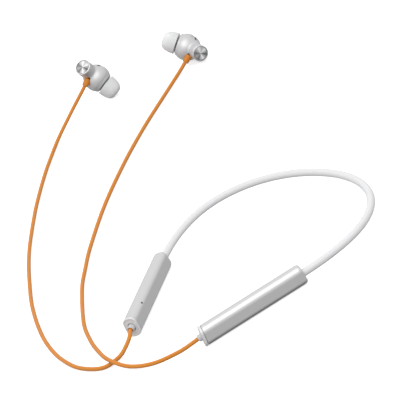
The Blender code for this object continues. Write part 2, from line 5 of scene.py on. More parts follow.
import bmesh
import bpy
import numpy as np
from mathutils import Matrix, Vector


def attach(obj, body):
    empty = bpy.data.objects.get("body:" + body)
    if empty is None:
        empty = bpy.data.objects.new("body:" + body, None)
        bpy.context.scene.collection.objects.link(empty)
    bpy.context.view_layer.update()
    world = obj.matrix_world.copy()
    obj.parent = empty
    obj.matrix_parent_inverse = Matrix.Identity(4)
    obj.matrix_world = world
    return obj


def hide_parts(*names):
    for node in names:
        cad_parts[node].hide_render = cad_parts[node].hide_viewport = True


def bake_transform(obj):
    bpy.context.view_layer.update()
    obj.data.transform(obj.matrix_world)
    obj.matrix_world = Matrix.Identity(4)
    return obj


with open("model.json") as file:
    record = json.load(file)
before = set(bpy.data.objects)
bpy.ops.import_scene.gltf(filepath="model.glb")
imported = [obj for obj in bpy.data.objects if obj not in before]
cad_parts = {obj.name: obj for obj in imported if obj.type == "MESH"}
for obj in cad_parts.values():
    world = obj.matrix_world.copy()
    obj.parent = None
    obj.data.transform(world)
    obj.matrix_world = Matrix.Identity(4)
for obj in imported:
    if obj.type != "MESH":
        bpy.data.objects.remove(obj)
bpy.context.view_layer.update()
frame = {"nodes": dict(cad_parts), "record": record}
MM = 0.001
LEFT, RIGHT = "left_side", "right_side"

# ---- The ring's frame and the pods, as in the CAD ------------------------------------------------
SHIFT = Vector((102.71, -120.005, 0.0))
POD_END_HALF_GAP = 29.1
TOE_IN = math.radians(28.4)
POD_LENGTH = 61.0
POD_SIZE = (8.0, 10.6)
POD_CORNER = 3.3
POD_MID_Z = 5.3
POD_WALL = 0.8
POD_STRAIGHT = 9.0
CAP_FACE = 0.7
CAP_LENGTH = 1.4
END_SLANT = 0.132
SEAM = 0.3
BAND_WIDEST = Vector((67.5, 85.9))
BAND_APEX_Y = 130.6
# Reach of the band curve's handles: at the pod, below and above the widest point, at the apex
BAND_HANDLES = (13.5, 9.2, 25.7, 39.7)
SLEEVE_RADIUS = 2.1
SLEEVE_INSET = 1.3
# The pod's rounding at the band: across it and along it
BAND_END_ROUND = (1.35, 2.6)
MIC_ALONG = 16.0
MIC_TURN = math.radians(60.0)
LIGHT_ALONG = 11.0
PORT_PLACE = (-0.2, 50.5)
PORT_SIZE = (3.2, 8.94)
PORT_CORNER = 1.59
BUTTONS = {"volume_up_button": 35.5, "multifunction_button": 26.5, "volume_down_button": 17.5}

# ---- Earbuds, as in the CAD: centre, tip direction, barrel side, relief side ---------------------
EARBUDS = {
    "left": (Vector((-268.5, 194.35, 17.6)), Vector((0.531, 0.111, -0.840)),
             Vector((0.773, -0.469, 0.427)), 1),
    "right": (Vector((-219.2, 234.65, 6.62)), Vector((-0.647, -0.365, 0.670)),
              Vector((0.741, -0.582, 0.360)), -1),
}
BARREL_ANGLE = math.radians(120.0)
BARREL_RADIUS = 4.9
BARREL_STOCK = 13.6
HOUSING_FILLET = 1.1
VENT_TURN = math.radians(70.0)
VENT_SLANT = math.radians(70.0)
VENT_SLOT = (1.05, 3.2, 0.51)
DISH_FLOOR = 7.2
RELIEF_LEAN = math.radians(12.0)
# Where the relief's axis starts: along the tip and along the barrel
RELIEF_ROOT = (2.7, 6.7)
RELIEF_SPAN = (3.6, 8.6)

# ---- Cords, as in the CAD ------------------------------------------------------------------------
CORD_RADIUS = 1.1
BOOT_TIP = -1.3
LEFT_ROUTE = [
    (-25.9, -4.9, 4.35), (-23.7, -10.8, 3.10), (-23.3, -17.8, 1.75), (-28.6, -26.3, 1.17),
    (-46.5, -28.7, 1.15), (-66.4, -24.8, 1.15), (-84.6, -18.2, 1.15), (-103.0, -9.2, 1.15),
    (-125.1, 4.1, 1.15), (-147.2, 19.8, 1.15), (-183.0, 49.5, 1.15), (-214.6, 81.3, 1.15),
    (-233.3, 102.4, 1.15), (-250.6, 123.9, 1.15), (-265.5, 145.4, 1.50), (-268.5, 151.9, 2.39),
    (-270.1, 158.6, 4.10), (-270.5, 165.4, 6.50), (-269.9, 171.9, 9.40), (-268.4, 178.2, 12.64),
]
RIGHT_ROUTE = [
    (26.5, -5.1, 5.00), (20.9, -11.1, 3.90), (8.2, -19.4, 2.50), (-8.0, -23.6, 2.30),
    (-25.2, -22.6, 3.75), (-41.8, -16.7, 2.60), (-60.2, -7.9, 1.35), (-79.4, 4.1, 1.15),
    (-107.8, 28.3, 1.15), (-123.1, 44.9, 1.15), (-137.4, 62.1, 1.15), (-161.6, 96.1, 1.15),
    (-182.7, 132.3, 1.15), (-198.7, 165.2, 1.15), (-210.2, 193.6, 1.15), (-212.6, 199.8, 1.16),
    (-215.0, 205.9, 1.16), (-217.3, 212.1, 1.25), (-218.9, 218.5, 1.80),
]


def ring(x, y, z=0.0):
    """A point of the ring's own frame, in millimetres, as a point of the row frame in metres."""
    return (Vector((x, y, z)) + SHIFT) * MM


# ---- Camera --------------------------------------------------------------------------------------
CAMERA_PLACE = Vector((1.31389, -0.75895, 0.67976))
CAMERA_FORWARD = Vector((-0.78904, 0.454163, -0.413704))
CAMERA_UP = Vector((-0.044801, 0.62908, 0.776048))
CAMERA_SHIFT = (-0.00125, 0.00175)


def make_camera():
    """The photograph's view: its place and directions are in metres in the row frame."""
    data = bpy.data.cameras.new("camera")
    data.lens = 270.0
    data.sensor_width = 36.0
    camera = bpy.data.objects.new("camera", data)
    bpy.context.scene.collection.objects.link(camera)
    bpy.context.scene.camera = camera
    forward = CAMERA_FORWARD.normalized()
    right = forward.cross(CAMERA_UP).normalized()
    up = right.cross(forward)
    matrix = Matrix((right, up, -forward)).transposed().to_4x4()
    matrix.translation = CAMERA_PLACE
    camera.matrix_world = matrix
    data.shift_x, data.shift_y = CAMERA_SHIFT
    data.clip_start = 0.05
    data.clip_end = 20.0


# ---- Mesh makers ---------------------------------------------------------------------------------
def new_object(name, verts, faces, matrix=None):
    """A mesh object from points in millimetres."""
    mesh = bpy.data.meshes.new(name)
    mesh.from_pydata([tuple(Vector(v) * MM) for v in verts], [], faces)
    mesh.update()
    obj = bpy.data.objects.new(name, mesh)
    bpy.context.scene.collection.objects.link(obj)
    if matrix:
        obj.matrix_world = matrix
    return obj


def tidy_normals(obj):
    """Turn every face outwards."""
    work = bmesh.new()
    work.from_mesh(obj.data)
    bmesh.ops.recalc_face_normals(work, faces=work.faces)
    work.to_mesh(obj.data)
    work.free()


def loft(name, rings, matrix=None, closed=False):
    """Skin between rings of equal numbers of points, with flat ends unless it closes on itself."""
    count = len(rings[0])
    verts = [point for one in rings for point in one]
    faces = []
    spans = len(rings) if closed else len(rings) - 1
    for k in range(spans):
        a = k * count
        b = ((k + 1) % len(rings)) * count
        for i in range(count):
            j = (i + 1) % count
            faces.append((a + i, a + j, b + j, b + i))
    if not closed:
        faces.append(tuple(reversed(range(count))))
        faces.append(tuple(range((len(rings) - 1) * count, len(rings) * count)))
    obj = new_object(name, verts, faces, matrix)
    tidy_normals(obj)
    return obj


def curve_through(points, steps=6):
    """Catmull-Rom points through the given points, ends included."""
    points = [Vector(p) for p in points]
    if len(points) < 3:
        return points
    ends = [points[0] * 2 - points[1], *points, points[-1] * 2 - points[-2]]
    fine = []
    for a, b, c, d in zip(ends, ends[1:], ends[2:], ends[3:]):
        for step in range(steps):
            t = step / steps
            fine.append((b * 2 + (c - a) * t + (a * 2 - b * 5 + c * 4 - d) * t * t
                         + (b * 3 - a - c * 3 + d) * t ** 3) / 2)
    fine.append(points[-1])
    return fine


def outline(*stretches, steps=6):
    """A profile made of stretches: each is smooth within itself, and corners lie between them."""
    line = []
    for stretch in stretches:
        for point in curve_through([(*p, 0) for p in stretch], steps):
            if not line or (Vector(line[-1]) - Vector(point[:2])).length > 1e-4:
                line.append((point[0], point[1]))
    return line


def revolve(name, profile, matrix=None, steps=64, closed=False):
    """A (radius, height) profile spun round Z. An open profile starts and ends on the axis."""
    verts, faces, rows = [], [], []
    for radius, height in profile:
        if radius < 1e-6:
            rows.append([len(verts)] * steps)
            verts.append((0, 0, height))
            continue
        rows.append(list(range(len(verts), len(verts) + steps)))
        for k in range(steps):
            angle = 2 * math.pi * k / steps
            verts.append((radius * math.cos(angle), radius * math.sin(angle), height))
    pairs = list(zip(rows, rows[1:]))
    if closed:
        pairs.append((rows[-1], rows[0]))
    for a, b in pairs:
        for i in range(steps):
            j = (i + 1) % steps
            face = []
            for index in (a[i], a[j], b[j], b[i]):
                if index not in face:
                    face.append(index)
            if len(face) > 2:
                faces.append(tuple(face))
    obj = new_object(name, verts, faces, matrix)
    tidy_normals(obj)
    return obj


def frames_along(path):
    """Two unit vectors across a path at each of its points, turning as little as they can."""
    tangents = []
    for k in range(len(path)):
        ahead, behind = path[min(k + 1, len(path) - 1)], path[max(k - 1, 0)]
        tangents.append((ahead - behind).normalized())
    across = tangents[0].cross(Vector((0, 0, 1))).normalized()
    result = []
    for tangent in tangents:
        across = (across - tangent * across.dot(tangent)).normalized()
        result.append((across, tangent.cross(across)))
    return result


def tube(name, path, radius, sides=24, inner=0.0):
    """A tube along a path in millimetres: solid, or open right through if it has an inner radius."""
    path = [Vector(p) for p in path]
    across = frames_along(path)

    def circle(k, r):
        u, v = across[k]
        return [path[k] + (u * math.cos(2 * math.pi * i / sides)
                           + v * math.sin(2 * math.pi * i / sides)) * r for i in range(sides)]

    rings = [circle(k, radius) for k in range(len(path))]
    if inner:
        rings += [circle(k, inner) for k in reversed(range(len(path)))]
    return loft(name, rings, closed=bool(inner))


def carve(obj, *steps):
    """Boolean steps, each a cutter object and an operation, applied to the mesh."""
    for tool, operation in steps:
        cut = obj.modifiers.new(tool.name, "BOOLEAN")
        cut.operation = operation
        cut.object = tool
        cut.solver = "EXACT"
    bpy.context.view_layer.update()
    shaped = obj.evaluated_get(bpy.context.evaluated_depsgraph_get())
    mesh = bpy.data.meshes.new_from_object(shaped)
    obj.modifiers.clear()
    obj.data = mesh
    mesh.name = obj.name
    work = bmesh.new()
    work.from_mesh(mesh)
    bmesh.ops.remove_doubles(work, verts=work.verts, dist=2e-6)
    bmesh.ops.dissolve_degenerate(work, dist=1e-6, edges=work.edges)
    work.to_mesh(mesh)
    work.free()
    for tool, _ in steps:
        bpy.data.objects.remove(tool)
    return obj


def finish_piece(obj, body, material, nodes=(), angle=30.0, weighted=True, keep_axes=False):
    """Smooth shading, material, body and the CAD nodes that the piece stands for. A turned finish
    keeps the piece's own axes."""
    if not keep_axes:
        obj.data.transform(obj.matrix_world)
        obj.matrix_world = Matrix.Identity(4)
    obj.data.shade_smooth()
    obj.data.set_sharp_from_angle(angle=math.radians(angle))
    if weighted:
        normals = obj.modifiers.new("normals", "WEIGHTED_NORMAL")
        normals.keep_sharp = True
    obj.data.materials.clear()
    obj.data.materials.append(material)
    if nodes:
        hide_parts(*nodes)
    if body:
        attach(obj, body)
    return obj


# ---- Materials -----------------------------------------------------------------------------------
class Finish:
    """A Principled material with procedural detail in object space."""

    def __init__(self, name, colour, roughness, metallic=0.0, **extra):
        self.material = bpy.data.materials.new(name)
        self.material.use_nodes = True
        self.nodes = self.material.node_tree.nodes
        self.links = self.material.node_tree.links
        self.shader = self.nodes["Principled BSDF"]
        self.colour = colour
        self.roughness = roughness
        self.set("Base Color", (*colour, 1.0))
        self.set("Roughness", roughness)
        self.set("Metallic", metallic)
        for key, value in extra.items():
            self.set(key.replace("_", " "), value)
        self.material.diffuse_color = (*colour, 1.0)
        self.place = self.nodes.new("ShaderNodeTexCoord").outputs["Object"]
        self.height = None

    def set(self, socket, value):
        self.shader.inputs[socket].default_value = value

    def noise(self, scale, detail=3.0, rough=0.55, stretch=None):
        texture = self.nodes.new("ShaderNodeTexNoise")
        texture.inputs["Scale"].default_value = scale
        texture.inputs["Detail"].default_value = detail
        texture.inputs["Roughness"].default_value = rough
        self.links.new(self.stretched(stretch), texture.inputs["Vector"])
        return texture.outputs["Fac"]

    def stretched(self, stretch):
        if not stretch:
            return self.place
        mapping = self.nodes.new("ShaderNodeMapping")
        mapping.inputs["Scale"].default_value = stretch
        self.links.new(self.place, mapping.inputs["Vector"])
        return mapping.outputs["Vector"]

    def cells(self, scale, feature="F1"):
        texture = self.nodes.new("ShaderNodeTexVoronoi")
        texture.feature = feature
        texture.inputs["Scale"].default_value = scale
        self.links.new(self.place, texture.inputs["Vector"])
        return texture.outputs["Distance"]

    def remap(self, value, low, high, to_low, to_high):
        ramp = self.nodes.new("ShaderNodeMapRange")
        ramp.inputs["From Min"].default_value = low
        ramp.inputs["From Max"].default_value = high
        ramp.inputs["To Min"].default_value = to_low
        ramp.inputs["To Max"].default_value = to_high
        self.links.new(value, ramp.inputs["Value"])
        return ramp.outputs["Result"]

    def tint(self, factor, other):
        """Blend the base colour towards another by a 0 to 1 factor."""
        mix = self.nodes.new("ShaderNodeMix")
        mix.data_type = "RGBA"
        mix.inputs["A"].default_value = (*self.colour, 1.0)
        mix.inputs["B"].default_value = (*other, 1.0)
        socket = self.shader.inputs["Base Color"]
        if socket.is_linked:
            self.links.new(socket.links[0].from_socket, mix.inputs["A"])
        self.links.new(factor, mix.inputs["Factor"])
        self.links.new(mix.outputs["Result"], socket)
        return self

    def polish(self, value, low, high):
        """Let roughness wander between two values with a 0 to 1 pattern."""
        self.links.new(self.remap(value, 0.25, 0.75, low, high), self.shader.inputs["Roughness"])
        return self

    def bump(self, value, distance, strength=1.0):
        node = self.nodes.new("ShaderNodeBump")
        node.inputs["Distance"].default_value = distance * MM
        node.inputs["Strength"].default_value = strength
        if self.height:
            self.links.new(self.height, node.inputs["Normal"])
        self.links.new(value, node.inputs["Height"])
        self.height = node.outputs["Normal"]
        self.links.new(self.height, self.shader.inputs["Normal"])
        return self


def shell_finish():
    """Fine silver paint with a satin sheen."""
    f = Finish("silver_shell", (0.70, 0.70, 0.708), 0.33, 0.70, Coat_Weight=0.25, Coat_Roughness=0.24)
    flakes = f.cells(9000.0)
    f.tint(f.remap(flakes, 0.1, 0.9, 0.0, 0.10), (0.90, 0.90, 0.92))
    f.tint(f.remap(f.noise(90.0), 0.35, 0.75, 0.0, 0.07), (0.60, 0.60, 0.61))
    f.polish(f.noise(260.0, 4.0), 0.29, 0.37)
    f.bump(f.noise(1400.0, 2.0), 0.0035)
    return f.material


def earbud_finish():
    """The same paint on the earbuds, a little softer."""
    f = Finish("pearl_earbud", (0.68, 0.68, 0.69), 0.42, 0.70, Coat_Weight=0.08, Coat_Roughness=0.2)
    f.tint(f.remap(f.cells(9000.0), 0.1, 0.9, 0.0, 0.10), (0.86, 0.86, 0.88))
    f.tint(f.remap(f.noise(120.0), 0.35, 0.75, 0.0, 0.06), (0.60, 0.60, 0.61))
    f.polish(f.noise(320.0, 4.0), 0.38, 0.46)
    f.bump(f.noise(1800.0, 2.0), 0.003)
    return f.material


def cap_finish():
    """Plainer, lighter plastic on the end caps."""
    f = Finish("silver_cap", (0.74, 0.74, 0.748), 0.42, 0.25, Coat_Weight=0.15, Coat_Roughness=0.2)
    f.tint(f.remap(f.cells(9000.0), 0.1, 0.9, 0.0, 0.08), (0.88, 0.88, 0.90))
    f.tint(f.remap(f.noise(150.0), 0.35, 0.75, 0.0, 0.07), (0.64, 0.64, 0.65))
    f.polish(f.noise(360.0, 4.0), 0.37, 0.47)
    f.bump(f.noise(1600.0, 2.0), 0.0035)
    return f.material


def sleeve_finish():
    """Matte silicone, near white, that catches a little dust."""
    f = Finish("neckband_silicone", (0.78, 0.78, 0.79), 0.55, Subsurface_Weight=0.15,
               Subsurface_Scale=0.0012, Sheen_Weight=0.15, Sheen_Roughness=0.4)
    f.shader.inputs["Subsurface Radius"].default_value = (1.0, 0.9, 0.85)
    f.tint(f.remap(f.noise(60.0), 0.4, 0.8, 0.0, 0.08), (0.70, 0.70, 0.715))
    f.tint(f.remap(f.noise(2600.0, 1.0), 0.72, 0.80, 0.0, 0.12), (0.60, 0.60, 0.61))
    f.polish(f.noise(420.0), 0.49, 0.61)
    f.bump(f.noise(3800.0, 3.0), 0.006)
    return f.material


def boot_finish():
    """Greyer silicone on the cord boots."""
    f = Finish("cord_boot_silicone", (0.60, 0.60, 0.61), 0.48, Subsurface_Weight=0.1,
               Subsurface_Scale=0.001)
    f.tint(f.remap(f.noise(400.0), 0.4, 0.8, 0.0, 0.1), (0.52, 0.52, 0.53))
    f.polish(f.noise(700.0), 0.42, 0.54)
    f.bump(f.noise(4200.0, 3.0), 0.005)
    return f.material


def orange_finish(name, scale=1.0):
    """Orange elastomer with a fine drawn grain and slight colour drift."""
    f = Finish(name, (0.70, 0.235, 0.014), 0.40, Subsurface_Weight=0.05,
               Subsurface_Scale=0.0006)
    f.shader.inputs["Subsurface Radius"].default_value = (1.0, 0.35, 0.1)
    f.tint(f.remap(f.noise(45.0 * scale), 0.35, 0.75, 0.0, 0.16), (0.50, 0.175, 0.015))
    f.tint(f.remap(f.noise(900.0 * scale, 2.0), 0.55, 0.85, 0.0, 0.12), (0.70, 0.32, 0.05))
    f.polish(f.noise(800.0), 0.40, 0.52)
    f.bump(f.noise(3000.0, 3.0), 0.008)
    return f.material


def tip_finish():
    """Soft translucent silicone."""
    f = Finish("ear_tip_silicone", (0.94, 0.943, 0.948), 0.36, Subsurface_Weight=0.45,
               Subsurface_Scale=0.0022, Transmission_Weight=0.12, IOR=1.41, Coat_Weight=0.1,
               Coat_Roughness=0.2)
    f.shader.inputs["Subsurface Radius"].default_value = (1.0, 0.95, 0.9)
    f.tint(f.remap(f.noise(150.0), 0.4, 0.8, 0.0, 0.08), (0.85, 0.855, 0.865))
    f.tint(f.remap(f.noise(2400.0, 1.0), 0.74, 0.82, 0.0, 0.1), (0.62, 0.62, 0.63))
    f.polish(f.noise(500.0), 0.30, 0.43)
    f.bump(f.noise(2600.0, 3.0), 0.005)
    return f.material


def spun_finish(name, colour, roughness, aniso, painted_sheen=()):
    """Metal turned on a lathe: fine rings and, where given, painted highlight and shade sectors
    spreading out from the centre.
    """
    f = Finish(name, colour, roughness, 0.3 if painted_sheen else 1.0, Anisotropic=aniso)
    if painted_sheen:
        # Painted highlight and shade: the base colour is darkened towards near black by angle round the
        # disc, in sectors
        turn = f.nodes.new("ShaderNodeTexGradient")
        turn.gradient_type = "RADIAL"
        f.links.new(f.place, turn.inputs["Vector"])
        ramp = f.nodes.new("ShaderNodeValToRGB")
        ramp.color_ramp.interpolation = "EASE"
        stops = ramp.color_ramp.elements
        stops.remove(stops[1])
        for k, (place, level) in enumerate(painted_sheen):
            stop = stops.new(place) if k else stops[0]
            stop.position = place
            stop.color = (1 - level, 1 - level, 1 - level, 1.0)
        f.links.new(turn.outputs["Fac"], ramp.inputs["Fac"])
        f.tint(ramp.outputs["Color"], (0.03, 0.03, 0.032))
    tangent = f.nodes.new("ShaderNodeTangent")
    tangent.direction_type = "RADIAL"
    tangent.axis = "Z"
    f.links.new(tangent.outputs["Tangent"], f.shader.inputs["Tangent"])
    rings = f.nodes.new("ShaderNodeTexWave")
    rings.wave_type = "RINGS"
    rings.rings_direction = "Z"
    rings.inputs["Scale"].default_value = 2600.0
    rings.inputs["Distortion"].default_value = 2.5
    rings.inputs["Detail"].default_value = 2.0
    f.links.new(f.place, rings.inputs["Vector"])
    f.tint(f.remap(rings.outputs["Fac"], 0.0, 1.0, 0.0, 0.08 if painted_sheen else 0.22),
           tuple(0.72 * channel for channel in colour))
    f.bump(rings.outputs["Fac"], 0.0012)
    return f.material


def plain_metal(name, colour, roughness, grain=1200.0):
    f = Finish(name, colour, roughness, 1.0)
    f.tint(f.remap(f.noise(grain, 4.0, stretch=(1.0, 1.0, 8.0)), 0.3, 0.7, 0.0, 0.25),
           tuple(0.75 * channel for channel in colour))
    f.polish(f.noise(grain * 0.6, 4.0), roughness - 0.06, roughness + 0.08)
    f.bump(f.noise(grain * 2.0, 3.0), 0.002)
    return f.material


def mesh_finish(name, scale):
    """Fine punched or woven metal: a regular web, with painted shade where its holes are."""
    f = Finish(name, (0.20, 0.20, 0.21), 0.42, 0.8)
    holes = f.cells(scale)
    # Painted shade: the holes are darkened to near black for the shadow seen through them
    f.tint(f.remap(holes, 0.30, 0.45, 1.0, 0.0), (0.012, 0.012, 0.013))
    f.bump(holes, 0.03)
    return f.material


def dark_plastic(name, colour=(0.035, 0.035, 0.038), roughness=0.5):
    f = Finish(name, colour, roughness)
    f.tint(f.remap(f.noise(500.0), 0.35, 0.75, 0.0, 0.35), tuple(1.6 * c for c in colour))
    f.polish(f.noise(900.0), roughness - 0.08, roughness + 0.08)
    f.bump(f.noise(3000.0, 3.0), 0.008)
    return f.material


def board_finish():
    """Green solder mask over copper tracks."""
    f = Finish("circuit_board", (0.015, 0.12, 0.045), 0.38, Coat_Weight=0.4, Coat_Roughness=0.15)
    tracks = f.nodes.new("ShaderNodeTexBrick")
    tracks.inputs["Scale"].default_value = 900.0
    tracks.inputs["Mortar Size"].default_value = 0.03
    f.links.new(f.place, tracks.inputs["Vector"])
    f.tint(f.remap(tracks.outputs["Fac"], 0.2, 0.8, 0.0, 0.8), (0.05, 0.26, 0.10))
    f.tint(f.remap(f.cells(1500.0), 0.10, 0.16, 1.0, 0.0), (0.65, 0.52, 0.20))
    f.bump(tracks.outputs["Fac"], 0.02)
    return f.material


def foil_finish():
    """Crinkled foil round the battery."""
    f = Finish("battery_foil", (0.42, 0.44, 0.47), 0.34, 0.7)
    f.tint(f.remap(f.noise(200.0, 4.0), 0.35, 0.7, 0.0, 0.4), (0.30, 0.32, 0.35))
    f.polish(f.noise(300.0), 0.26, 0.44)
    f.bump(f.noise(350.0, 4.0), 0.05)
    return f.material


def clear_finish():
    f = Finish("light_guide_polymer", (0.90, 0.91, 0.93), 0.18, Transmission_Weight=0.6, IOR=1.49)
    f.tint(f.remap(f.noise(900.0), 0.4, 0.8, 0.0, 0.15), (0.80, 0.82, 0.85))
    f.polish(f.noise(1200.0), 0.14, 0.26)
    return f.material


def floor_finish():
    """Pale and slightly glowing, so that it shows as near white."""
    f = Finish("pale_floor", (0.92, 0.92, 0.92), 0.9, Emission_Strength=0.5)
    f.set("Emission Color", (1.0, 1.0, 1.0, 1.0))
    f.tint(f.remap(f.noise(4.0), 0.3, 0.7, 0.0, 0.05), (0.90, 0.90, 0.90))
    return f.material


# ---- Pods ----------------------------------------------------------------------------------------
def rounded_rect(width, height, radius, steps=12):
    """Points round a rectangle about the origin, with each corner an arc."""
    radius = max(radius, 0.02)
    points = []
    for turn, (sx, sy) in enumerate(((1, 1), (-1, 1), (-1, -1), (1, -1))):
        cx = sx * (width / 2 - radius)
        cy = sy * (height / 2 - radius)
        for step in range(steps + 1):
            angle = math.radians(90 * turn + 90 * step / steps)
            points.append((cx + radius * math.cos(angle), cy + radius * math.sin(angle)))
    return points


def pod_ring(along, inset=0.0, slanted=False, circle=0.0, steps=12):
    """One section of a pod, inset from its outer size, or a circle with as many points."""
    width, height = POD_SIZE
    outer = rounded_rect(width - 2 * inset, height - 2 * inset, POD_CORNER - inset, steps)
    if circle:
        outer = [tuple(Vector(p).normalized() * circle) for p in outer]
    return [(x, along + (z * END_SLANT if slanted else 0.0), z) for x, z in outer]


def quarter(radius, count):
    """Round a square edge: (inset, distance from the face) from the face to the side."""
    return [(radius * (1 - math.sin(a)), radius * (1 - math.cos(a)))
            for a in (math.pi / 2 * k / count for k in range(count + 1))]


def pod_matrix(side):
    place = Matrix.Translation(ring(side * POD_END_HALF_GAP, 0, POD_MID_Z))
    return place @ Matrix.Rotation(-side * TOE_IN, 4, "Z")


def pod_housing(name, side):
    """A one-piece shell, open at the slanted cord end and rounded at the band end."""
    start = CAP_FACE + CAP_LENGTH + SEAM
    end, hole = POD_LENGTH, SLEEVE_RADIUS + 0.15
    rings = [pod_ring(start + back, inset, True) for inset, back in quarter(0.12, 3)]
    across, along = BAND_END_ROUND
    rings += [pod_ring(POD_STRAIGHT), pod_ring(end - along - 5.0)]
    rings += [pod_ring(end - along * back, across * inset)
              for inset, back in reversed(quarter(1.0, 8))]
    rings += [pod_ring(end, circle=hole + 0.15), pod_ring(end - 0.15, circle=hole)]
    rings += [pod_ring(end - 1.2, circle=hole), pod_ring(end - 1.2, POD_WALL)]
    rings += [pod_ring(POD_STRAIGHT, POD_WALL), pod_ring(start, POD_WALL, True)]
    return loft(name, rings, pod_matrix(side), closed=True)


def end_cap(name, side):
    """The slanted cap: a bright rounded rim, a recessed face, a plug and a bore for the boot."""
    end, bore = CAP_FACE + CAP_LENGTH, 2.25
    rings = [pod_ring(end, 1.1, True), pod_ring(end, 0.0, True)]
    rings += [pod_ring(CAP_FACE + back, inset, True) for inset, back in reversed(quarter(0.38, 5))]
    rings += [pod_ring(CAP_FACE + 0.06, 0.68, True), pod_ring(CAP_FACE + 0.16, 0.78, True)]
    rings += [pod_ring(CAP_FACE + 0.35, 0.8, True)]
    rings += [pod_ring(CAP_FACE + 0.35, 0, True, bore + 0.1)]
    rings += [pod_ring(CAP_FACE + 0.45, 0, True, bore)]
    rings += [pod_ring(4.6, 0, True, bore), pod_ring(4.6, 1.1, True)]
    return loft(name, rings, pod_matrix(side), closed=True)


ALONG_POD = Matrix.Rotation(-math.pi / 2, 4, "X")
BOOT = outline([(0, 6.4), (2.5, 6.4)], [(2.5, 6.4), (2.5, 5.6)], [(2.5, 5.6), (1.95, 5.6)],
               [(1.95, 5.6), (1.95, 0.7)], [(1.95, 0.7), (1.88, -0.2), (1.76, -1.0), (1.62, -1.27),
               (1.5, -1.33), (1.38, -1.25)], [(1.38, -1.25), (1.36, 1.2)], [(1.36, 1.2), (0, 1.2)])


def stadium_ring(place, length, height, inset=0.0, radius=None, steps=10):
    """A ring across X at a place: a stadium along Y, or a rectangle with a given corner radius."""
    corner = height / 2 - inset - 0.01 if radius is None else radius
    shape = rounded_rect(length - 2 * inset, height - 2 * inset, corner, steps)
    return [(place, u, v) for u, v in shape]


def make_button(name, side, mark):
    """A button cap with a soft crown, a retaining flange and a stem, as one piece."""
    length, height, face = 6.6, 2.6, 4.35
    rings = [stadium_ring(1.9, 1.6, 1.6, radius=0.5), stadium_ring(2.3, 1.6, 1.6, radius=0.5)]
    rings += [stadium_ring(2.3, 8.0, 3.8), stadium_ring(2.9, 8.0, 3.8)]
    rings += [stadium_ring(2.9, length, height)]
    rings += [stadium_ring(face - 0.08 - back, length, height, inset)
              for inset, back in reversed(quarter(0.32, 6))]
    rings += [stadium_ring(face - 0.03, length, height, 0.55),
              stadium_ring(face, length, height, 0.9)]
    rings = [[(side * x, y, z) for x, y, z in one] for one in rings]
    place = pod_matrix(side) @ Matrix.Translation(Vector((0, BUTTONS[name], 0)) * MM)
    cap = loft(f"{name}_cap", rings, place)
    spans = ((face - 0.2, 1.0), (face + 0.06, 1.0), (face + 0.1, 0.95))
    raised = [[(side * q, y * share, z * share) for y, z in mark] for q, share in spans]
    return carve(cap, (loft("mark", raised, place), "UNION"))


def window(name, side):
    """A cutter for a button's window, flared at the surface."""
    spans = ((2.6, 0.0), (3.78, 0.0), (3.86, -0.03), (4.02, -0.16), (5.0, -0.16))
    rings = [[(side * x, y, z) for x, y, z in stadium_ring(q, 7.2, 3.2, inset)]
             for q, inset in spans]
    return loft(name, rings, pod_matrix(side) @ Matrix.Translation(Vector((0, BUTTONS[name], 0)) * MM))


def port_ring(z, inset, steps=10):
    """A ring of the port at a height: inset from the metal shell's outer size."""
    width, length = PORT_SIZE
    shape = rounded_rect(width - 2 * inset, length - 2 * inset, PORT_CORNER - inset, steps)
    return [(x + PORT_PLACE[0], y + PORT_PLACE[1], z) for x, y in shape]


def make_left_housing():
    """The left shell with its openings, the light's lens and the microphone's grille."""
    side, matrix = -1, pod_matrix(-1)
    housing = pod_housing("left_pod_shell", side)
    cutters = [(window(name, side), "DIFFERENCE") for name in BUTTONS]
    mouth = [port_ring(z, inset) for z, inset in ((-3.9, -0.3), (-5.08, -0.3), (-5.16, -0.33),
                                                  (-5.32, -0.5), (-6.2, -0.5))]
    cutters.append((loft("mouth", mouth, matrix), "DIFFERENCE"))
    corner = matrix @ Matrix.Translation(Vector((0.7, MIC_ALONG, 2.0)) * MM)
    corner = corner @ Matrix.Rotation(MIC_TURN, 4, "Y")
    hole = outline([(0, 4.2), (0.85, 4.2)], [(0.85, 4.2), (0.8, 3.36), (0.62, 3.2)],
                   [(0.62, 3.2), (0.62, 1.9)], [(0.62, 1.9), (0, 1.9)], steps=3)
    cutters.append((revolve("mic_hole", hole, corner, 32), "DIFFERENCE"))
    out = matrix @ Matrix.Translation(Vector((0, LIGHT_ALONG, 0)) * MM)
    out = out @ Matrix.Rotation(side * math.pi / 2, 4, "Y")
    hole = [(0, 5.0), (0.95, 5.0), (0.95, 4.02), (0.8, 3.85), (0.8, 2.0), (0, 2.0)]
    cutters.append((revolve("light_hole", hole, out, 32), "DIFFERENCE"))
    carve(housing, *cutters)
    guide = revolve("light_lens", outline([(0, 3.95), (0.3, 3.9), (0.5, 3.72)],
                    [(0.5, 3.72), (0.5, -0.1)], [(0.5, -0.1), (0, -0.1)]), out, 32)
    grille = revolve("microphone_grille", [(0, 2.17), (0.7, 2.17), (0.75, 2.12), (0.75, 2.0),
                     (0, 2.0)], corner, 32)
    return housing, guide, grille


def make_port():
    """The port's metal shell with a rolled lip, and its tongue."""
    matrix = pod_matrix(-1)
    rings = [port_ring(1.9, 0.3), port_ring(1.9, 0.05), port_ring(1.8, 0.0), port_ring(-4.75, 0.0),
             port_ring(-4.87, 0.05), port_ring(-4.9, 0.15), port_ring(-4.87, 0.25)]
    rings += [port_ring(-4.75, 0.3), port_ring(1.4, 0.3), port_ring(1.4, 1.3)]
    outside, inside = rings[:7], rings[7:]
    shell = loft("port_shell", [port_ring(1.9, 1.3), *outside, *inside], matrix)
    tongue = [[(x + PORT_PLACE[0], y + PORT_PLACE[1], z)
               for x, y in rounded_rect(width, length, 0.15, 4)]
              for z, width, length in ((1.1, 0.7, 6.6), (-4.0, 0.7, 6.6), (-4.2, 0.4, 6.2))]
    return shell, loft("port_tongue", tongue, matrix)


